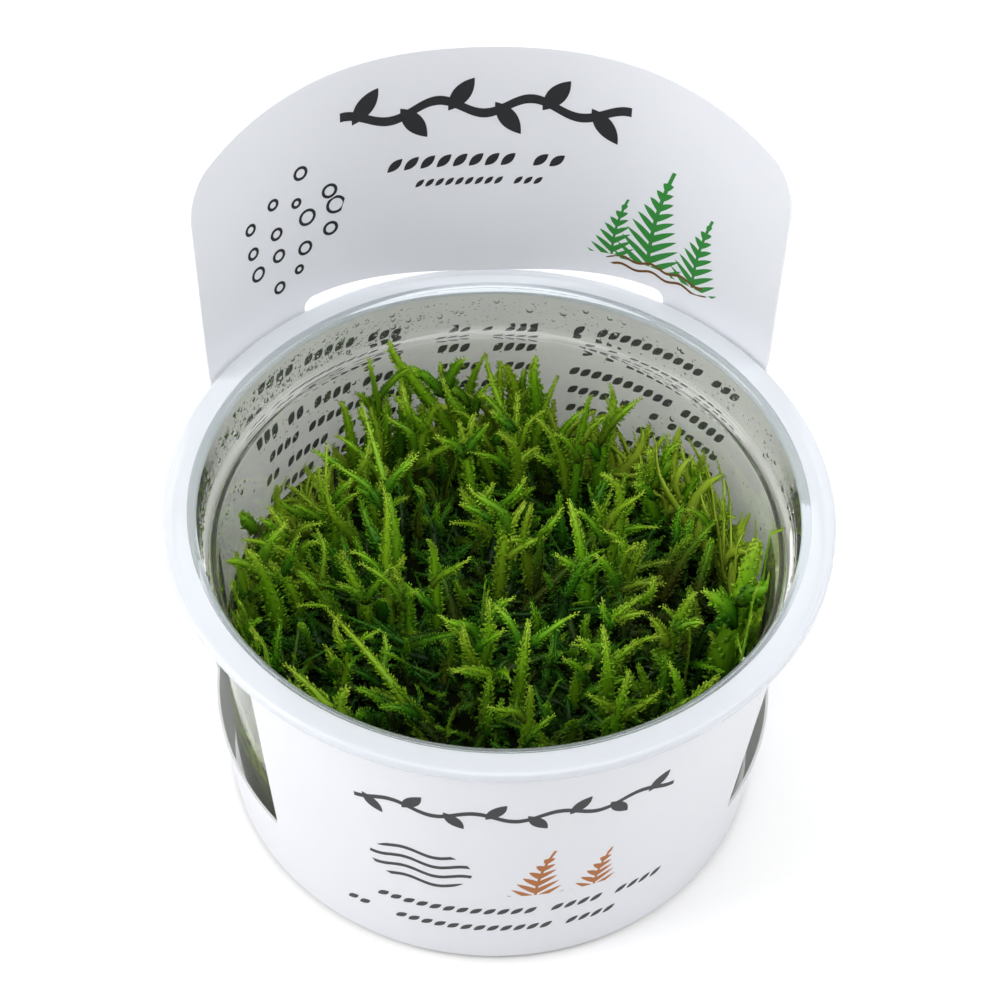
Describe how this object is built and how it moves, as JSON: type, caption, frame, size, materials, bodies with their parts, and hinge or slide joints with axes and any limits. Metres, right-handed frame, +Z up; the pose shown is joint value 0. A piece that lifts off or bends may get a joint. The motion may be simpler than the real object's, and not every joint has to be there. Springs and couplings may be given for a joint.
{
  "type": "tissue culture weeping moss in a cup",
  "caption": "Clear round plastic cup filled with living weeping moss, wrapped in a white die-cut sleeve with side windows and a tall rear tab.",
  "frame": {"origin": "middle of the cup's flat base, on the surface it stands on", "axes": "+Z up out of the cup; -Y to the front panel of the sleeve; +Y to the tall tab at the back"},
  "size_m": [0.1, 0.1038, 0.1013],
  "materials": {
    "clear_plastic": "clear, slightly hazy moulded polypropylene",
    "white_card": "satin white coated card, printed",
    "moss_green": "damp living moss"
  },
  "bodies": {
    "root": {"tub": "clear_plastic", "sleeve": "white_card", "moss": "moss_green"}
  },
  "joints": []
}
